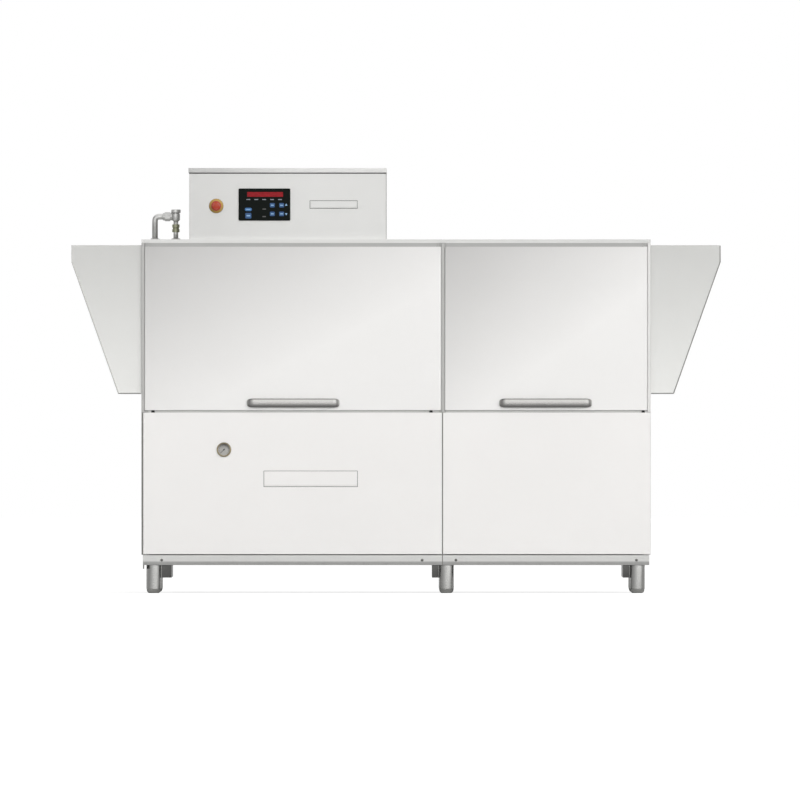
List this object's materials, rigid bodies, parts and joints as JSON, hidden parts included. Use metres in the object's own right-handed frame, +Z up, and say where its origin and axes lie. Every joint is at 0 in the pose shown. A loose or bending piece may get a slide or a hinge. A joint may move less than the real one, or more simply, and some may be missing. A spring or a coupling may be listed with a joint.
{
  "type": "rack conveyor dishwasher",
  "caption": "Stainless rack-conveyor dishwasher with lift-up doors, end hoods, a control box on the roof and levelling feet.",
  "frame": {"origin": "centre of the machine's footprint on the floor, under the feet", "axes": "+Z up, +X along the conveyor towards the load end, which is on the right of someone at the doors, +Y from the doors to the rear panel"},
  "size_m": [2.7846, 0.807, 1.824],
  "materials": {
    "stainless": "fine brushed",
    "stainless_inner": "satin",
    "polished": "polished",
    "pump_iron": "satin grey paint",
    "brass": "satin",
    "black_plastic": "satin",
    "blue_key": "satin",
    "yellow_plastic": "gloss",
    "red_plastic": "gloss",
    "curtain_rubber": "matt translucent"
  },
  "bodies": {
    "root": {"base_rail_front": "stainless", "base_rail_rear": "stainless", "unload_end_wall": "stainless", "load_end_wall": "stainless", "centre_wall": "stainless", "roof_panel": "stainless", "rear_panel": "stainless", "load_hood": "stainless", "unload_hood": "stainless", "front_panel_left": "stainless", "front_panel_right": "stainless", "rack_track_front": "stainless", "rack_track_rear": "stainless", "control_box_case": "stainless", "control_box_lid": "stainless", "leg_frame_left": "stainless_inner", "leg_frame_centre": "stainless_inner", "leg_frame_right": "stainless_inner", "wash_tank": "stainless_inner", "prewash_tank": "stainless_inner", "wash_manifold": "stainless_inner", "prewash_manifold": "stainless_inner", "final_rinse_manifold": "stainless_inner", "rinse_fill_line": "polished", "wash_pump": "pump_iron", "prewash_pump": "pump_iron", "drive_gearmotor": "pump_iron", "thermometer_case": "brass", "keypad_bezel": "black_plastic", "estop_collar": "yellow_plastic"},
    "door_left": {"door_left": "stainless", "door_handle_left": "polished"},
    "door_right": {"door_right": "stainless", "door_handle_right": "polished"},
    "estop_plunger": {"estop_plunger": "black_plastic"},
    "estop_head": {"estop_head": "red_plastic"},
    "thermometer_needle": {"thermometer_needle": "black_plastic"},
    "pawl_bar": {"pawl_bar": "stainless_inner"},
    "pawl_1": {"pawl_1": "stainless_inner"},
    "pawl_2": {"pawl_2": "stainless_inner"},
    "pawl_3": {"pawl_3": "stainless_inner"},
    "drive_shaft": {"drive_shaft": "stainless_inner"},
    "wash_impeller": {"wash_pump_impeller": "brass"},
    "prewash_impeller": {"prewash_pump_impeller": "brass"},
    "wash_scrap_basket": {"wash_scrap_basket": "stainless"},
    "prewash_scrap_basket": {"prewash_scrap_basket": "stainless"},
    "unload_curtain": {"unload_curtain": "curtain_rubber"},
    "load_curtain": {"load_curtain": "curtain_rubber"},
    "key_start": {"key_start": "blue_key"},
    "key_stop": {"key_stop": "blue_key"},
    "key_upper_left": {"key_upper_left": "blue_key"},
    "key_upper_right": {"key_upper_right": "blue_key"},
    "key_lower_left": {"key_lower_left": "blue_key"},
    "key_lower_right": {"key_lower_right": "blue_key"},
    "foot_left_front": {"foot_left_front": "stainless_inner"},
    "foot_left_rear": {"foot_left_rear": "stainless_inner"},
    "foot_centre_front": {"foot_centre_front": "stainless_inner"},
    "foot_centre_rear": {"foot_centre_rear": "stainless_inner"},
    "foot_right_front": {"foot_right_front": "stainless_inner"},
    "foot_right_rear": {"foot_right_rear": "stainless_inner"}
  },
  "joints": [
    {"name": "door_left_lift", "type": "slide", "parent": "root", "child": "door_left", "axis": [0, 0, 1], "range_m": [0, 0.48]},
    {"name": "door_right_lift", "type": "slide", "parent": "root", "child": "door_right", "axis": [0, 0, 1], "range_m": [0, 0.48]},
    {"name": "estop_push", "type": "slide", "parent": "root", "child": "estop_plunger", "axis": [0, 1, 0], "range_m": [0, 0.006], "stiffness_N_per_m": 1500},
    {"name": "estop_twist", "type": "hinge", "parent": "estop_plunger", "child": "estop_head", "pos_m": [-0.772, -0.2625, 1.661], "axis": [0, 1, 0], "range_deg": [0, 40], "stiffness_Nm_per_rad": 0.05},
    {"name": "key_start_press", "type": "slide", "parent": "root", "child": "key_start", "axis": [0, 1, 0], "range_m": [0, 0.0008], "stiffness_N_per_m": 1500},
    {"name": "key_stop_press", "type": "slide", "parent": "root", "child": "key_stop", "axis": [0, 1, 0], "range_m": [0, 0.0008], "stiffness_N_per_m": 1500},
    {"name": "key_upper_left_press", "type": "slide", "parent": "root", "child": "key_upper_left", "axis": [0, 1, 0], "range_m": [0, 0.0008], "stiffness_N_per_m": 1500},
    {"name": "key_upper_right_press", "type": "slide", "parent": "root", "child": "key_upper_right", "axis": [0, 1, 0], "range_m": [0, 0.0008], "stiffness_N_per_m": 1500},
    {"name": "key_lower_left_press", "type": "slide", "parent": "root", "child": "key_lower_left", "axis": [0, 1, 0], "range_m": [0, 0.0008], "stiffness_N_per_m": 1500},
    {"name": "key_lower_right_press", "type": "slide", "parent": "root", "child": "key_lower_right", "axis": [0, 1, 0], "range_m": [0, 0.0008], "stiffness_N_per_m": 1500},
    {"name": "thermometer_turn", "type": "hinge", "parent": "root", "child": "thermometer_needle", "pos_m": [-0.738, -0.3655, 0.615], "axis": [0, 1, 0], "range_deg": [0, 270], "stiffness_Nm_per_rad": 0.0005},
    {"name": "pawl_bar_stroke", "type": "slide", "parent": "root", "child": "pawl_bar", "axis": [1, 0, 0], "range_m": [-0.075, 0.075]},
    {"name": "drive_shaft_swing", "type": "hinge", "parent": "root", "child": "drive_shaft", "pos_m": [-0.76, 0.3415, 1.2], "axis": [0, 0, 1], "range_deg": [-14.1, 14.1]},
    {"name": "pawl_1_tip", "type": "hinge", "parent": "pawl_bar", "child": "pawl_1", "pos_m": [-0.5, 0.0525, 0.833], "axis": [0, 1, 0], "range_deg": [-40, 0]},
    {"name": "pawl_2_tip", "type": "hinge", "parent": "pawl_bar", "child": "pawl_2", "pos_m": [0.06, 0.0525, 0.833], "axis": [0, 1, 0], "range_deg": [-40, 0]},
    {"name": "pawl_3_tip", "type": "hinge", "parent": "pawl_bar", "child": "pawl_3", "pos_m": [0.62, 0.0525, 0.833], "axis": [0, 1, 0], "range_deg": [-40, 0]},
    {"name": "wash_impeller_spin", "type": "hinge", "parent": "root", "child": "wash_impeller", "pos_m": [-0.35, 0.2015, 0.42], "axis": [0, 0, 1], "continuous": true},
    {"name": "prewash_impeller_spin", "type": "hinge", "parent": "root", "child": "prewash_impeller", "pos_m": [0.645, 0.2015, 0.42], "axis": [0, 0, 1], "continuous": true},
    {"name": "wash_basket_lift", "type": "slide", "parent": "root", "child": "wash_scrap_basket", "axis": [0, 0, 1], "range_m": [0, 0.12]},
    {"name": "prewash_basket_lift", "type": "slide", "parent": "root", "child": "prewash_scrap_basket", "axis": [0, 0, 1], "range_m": [0, 0.12]},
    {"name": "unload_curtain_swing", "type": "hinge", "parent": "root", "child": "unload_curtain", "pos_m": [-1.07, 0.03, 1.34], "axis": [0, 1, 0], "range_deg": [-10, 40]},
    {"name": "load_curtain_swing", "type": "hinge", "parent": "root", "child": "load_curtain", "pos_m": [1.07, 0.03, 1.34], "axis": [0, 1, 0], "range_deg": [-40, 60]},
    {"name": "foot_left_front_screw", "type": "slide", "parent": "root", "child": "foot_left_front", "axis": [0, 0, -1], "range_m": [0, 0.025]},
    {"name": "foot_left_rear_screw", "type": "slide", "parent": "root", "child": "foot_left_rear", "axis": [0, 0, -1], "range_m": [0, 0.025]},
    {"name": "foot_centre_front_screw", "type": "slide", "parent": "root", "child": "foot_centre_front", "axis": [0, 0, -1], "range_m": [0, 0.025]},
    {"name": "foot_centre_rear_screw", "type": "slide", "parent": "root", "child": "foot_centre_rear", "axis": [0, 0, -1], "range_m": [0, 0.025]},
    {"name": "foot_right_front_screw", "type": "slide", "parent": "root", "child": "foot_right_front", "axis": [0, 0, -1], "range_m": [0, 0.025]},
    {"name": "foot_right_rear_screw", "type": "slide", "parent": "root", "child": "foot_right_rear", "axis": [0, 0, -1], "range_m": [0, 0.025]}
  ],
  "couplings": [
    {"joint": "drive_shaft_swing", "follows": "pawl_bar_stroke", "rad_per_m": 3.2573}
  ]
}
